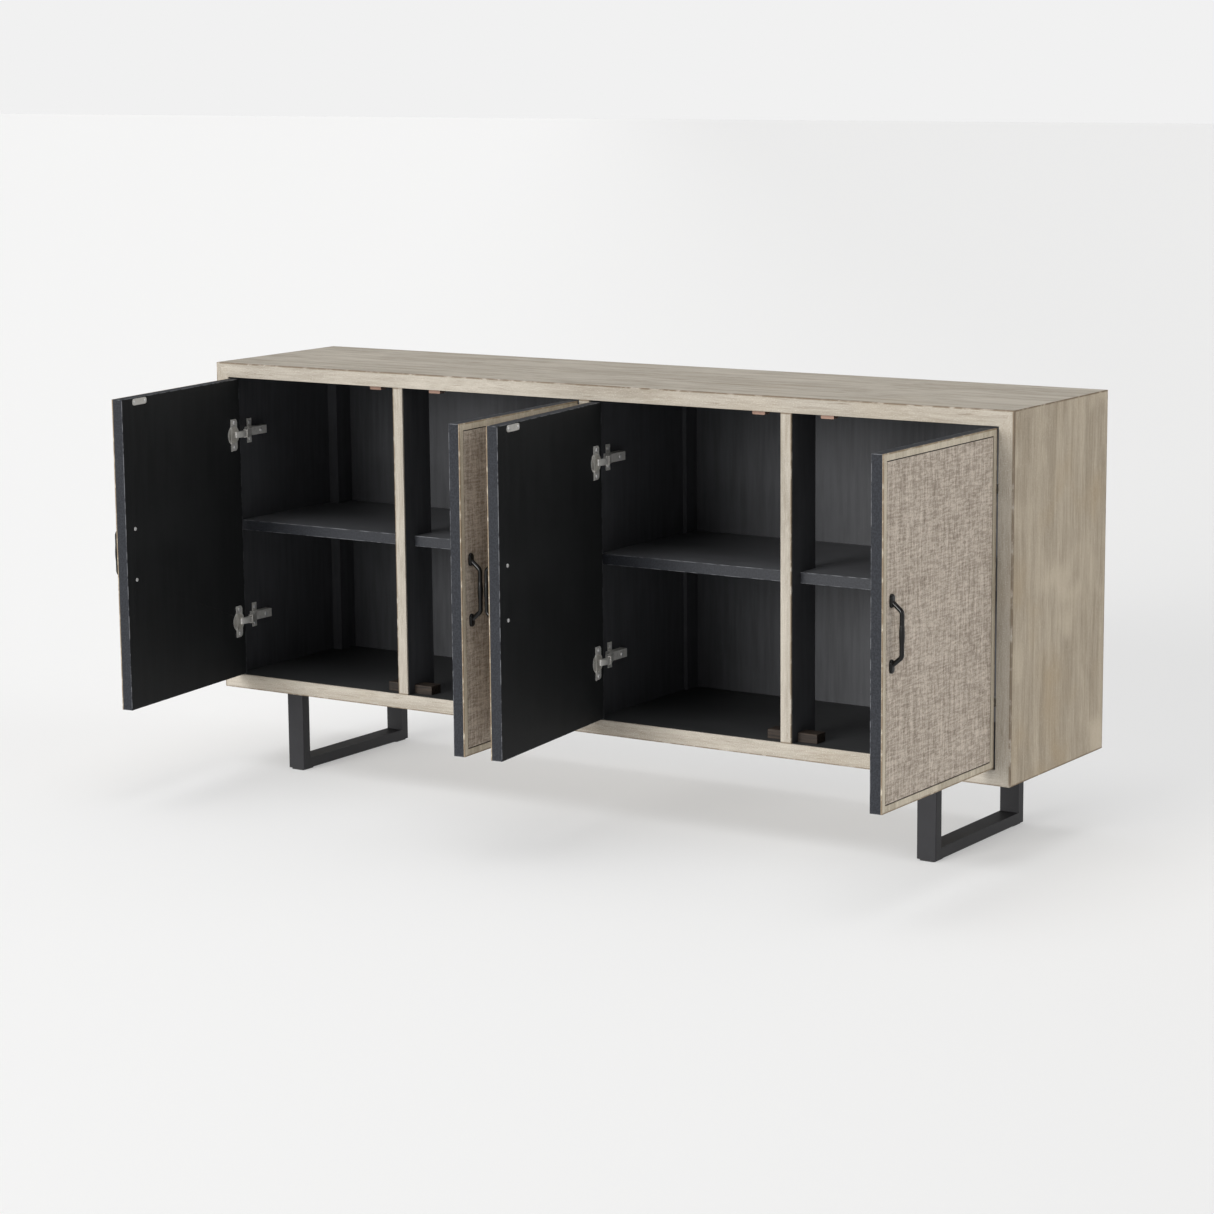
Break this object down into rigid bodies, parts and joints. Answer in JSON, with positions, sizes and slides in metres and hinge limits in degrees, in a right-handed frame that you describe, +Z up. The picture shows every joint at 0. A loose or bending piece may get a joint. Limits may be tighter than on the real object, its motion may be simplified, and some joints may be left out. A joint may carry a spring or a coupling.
{
  "type": "sideboard buffet",
  "caption": "Long sideboard with inset hinged doors, shelves behind them and sled legs of rectangular tube.",
  "frame": {"origin": "on the floor, at the centre of the footprint of the whole piece with its doors standing open", "axes": "+X to the right seen from the front, +Y from the open doors to the cabinet's back, +Z up"},
  "size_m": [1.73, 0.7676, 0.8],
  "materials": {
    "grey_wood": "grey-washed open-grain veneer, matt",
    "black_board": "black stained board, satin",
    "door_board": "black stained board, satin, slate edges",
    "woven_cloth": "taupe woven cloth, matt",
    "black_metal": "matt black powder coat",
    "bright_steel": "nickel plated",
    "screw_steel": "zinc plated",
    "copper": "copper-toned plated",
    "plain_wood": "dark brown stained",
    "black_plastic": "moulded"
  },
  "bodies": {
    "cabinet": {"back_panels": "black_board", "back_screws": "screw_steel", "bottom_panel": "grey_wood", "carcase_dowels": "plain_wood", "catches": "copper", "centre_partition": "black_board", "door_stops": "plain_wood", "floor_lining": "black_board", "front_rails": "grey_wood", "front_stiles": "grey_wood", "hinge_arms": "bright_steel", "hinge_mount_plates": "bright_steel", "hinge_mount_screws": "screw_steel", "inner_stiles": "grey_wood", "left_leg_frame": "black_metal", "left_shelf": "black_board", "left_side_panel": "grey_wood", "leg_glides": "black_plastic", "leg_screws": "screw_steel", "mid_posts": "black_board", "rear_posts": "black_board", "right_leg_frame": "black_metal", "right_shelf": "black_board", "right_side_panel": "grey_wood", "shelf_pins": "screw_steel", "side_linings": "black_board", "top_lining": "black_board", "top_panel": "grey_wood"},
    "outer_left_door": {"outer_left_door_border": "grey_wood", "outer_left_door_handle": "black_metal", "outer_left_door_hinge_cups": "bright_steel", "outer_left_door_screws": "screw_steel", "outer_left_door_slab": "door_board", "outer_left_door_strike_plate": "bright_steel", "outer_left_door_woven_panel": "woven_cloth"},
    "outer_left_hinge_links": {"outer_left_hinge_links": "bright_steel"},
    "inner_left_door": {"inner_left_door_border": "grey_wood", "inner_left_door_handle": "black_metal", "inner_left_door_hinge_cups": "bright_steel", "inner_left_door_screws": "screw_steel", "inner_left_door_slab": "door_board", "inner_left_door_strike_plate": "bright_steel", "inner_left_door_woven_panel": "woven_cloth"},
    "inner_left_hinge_links": {"inner_left_hinge_links": "bright_steel"},
    "inner_right_door": {"inner_right_door_border": "grey_wood", "inner_right_door_handle": "black_metal", "inner_right_door_hinge_cups": "bright_steel", "inner_right_door_screws": "screw_steel", "inner_right_door_slab": "door_board", "inner_right_door_strike_plate": "bright_steel", "inner_right_door_woven_panel": "woven_cloth"},
    "inner_right_hinge_links": {"inner_right_hinge_links": "bright_steel"},
    "outer_right_door": {"outer_right_door_border": "grey_wood", "outer_right_door_handle": "black_metal", "outer_right_door_hinge_cups": "bright_steel", "outer_right_door_screws": "screw_steel", "outer_right_door_slab": "door_board", "outer_right_door_strike_plate": "bright_steel", "outer_right_door_woven_panel": "woven_cloth"},
    "outer_right_hinge_links": {"outer_right_hinge_links": "bright_steel"}
  },
  "joints": [
    {"name": "outer_left_door_swing", "type": "hinge", "parent": "cabinet", "child": "outer_left_door", "pos_m": [-0.8345, 0.0135, 0.477], "axis": [0, 0, -1], "range_deg": [-83, 12]},
    {"name": "outer_left_link_swing", "type": "hinge", "parent": "cabinet", "child": "outer_left_hinge_links", "pos_m": [-0.8345, 0.0135, 0.477], "axis": [0, 0, -1], "range_deg": [-54.79, 7.93]},
    {"name": "inner_left_door_swing", "type": "hinge", "parent": "cabinet", "child": "inner_left_door", "pos_m": [-0.0135, 0.0135, 0.477], "axis": [0, 0, 1], "range_deg": [-93, 0]},
    {"name": "inner_left_link_swing", "type": "hinge", "parent": "cabinet", "child": "inner_left_hinge_links", "pos_m": [-0.0135, 0.0135, 0.477], "axis": [0, 0, 1], "range_deg": [-61.39, 0.01]},
    {"name": "inner_right_door_swing", "type": "hinge", "parent": "cabinet", "child": "inner_right_door", "pos_m": [0.0135, 0.0135, 0.477], "axis": [0, 0, -1], "range_deg": [-83, 0]},
    {"name": "inner_right_link_swing", "type": "hinge", "parent": "cabinet", "child": "inner_right_hinge_links", "pos_m": [0.0135, 0.0135, 0.477], "axis": [0, 0, -1], "range_deg": [-54.79, 0.01]},
    {"name": "outer_right_door_swing", "type": "hinge", "parent": "cabinet", "child": "outer_right_door", "pos_m": [0.8345, 0.0135, 0.477], "axis": [0, 0, 1], "range_deg": [-90, 5]},
    {"name": "outer_right_link_swing", "type": "hinge", "parent": "cabinet", "child": "outer_right_hinge_links", "pos_m": [0.8345, 0.0135, 0.477], "axis": [0, 0, 1], "range_deg": [-59.41, 3.31]}
  ],
  "couplings": [
    {"joint": "outer_left_link_swing", "follows": "outer_left_door_swing", "ratio": 0.66},
    {"joint": "inner_left_link_swing", "follows": "inner_left_door_swing", "ratio": 0.66},
    {"joint": "inner_right_link_swing", "follows": "inner_right_door_swing", "ratio": 0.66},
    {"joint": "outer_right_link_swing", "follows": "outer_right_door_swing", "ratio": 0.66}
  ]
}
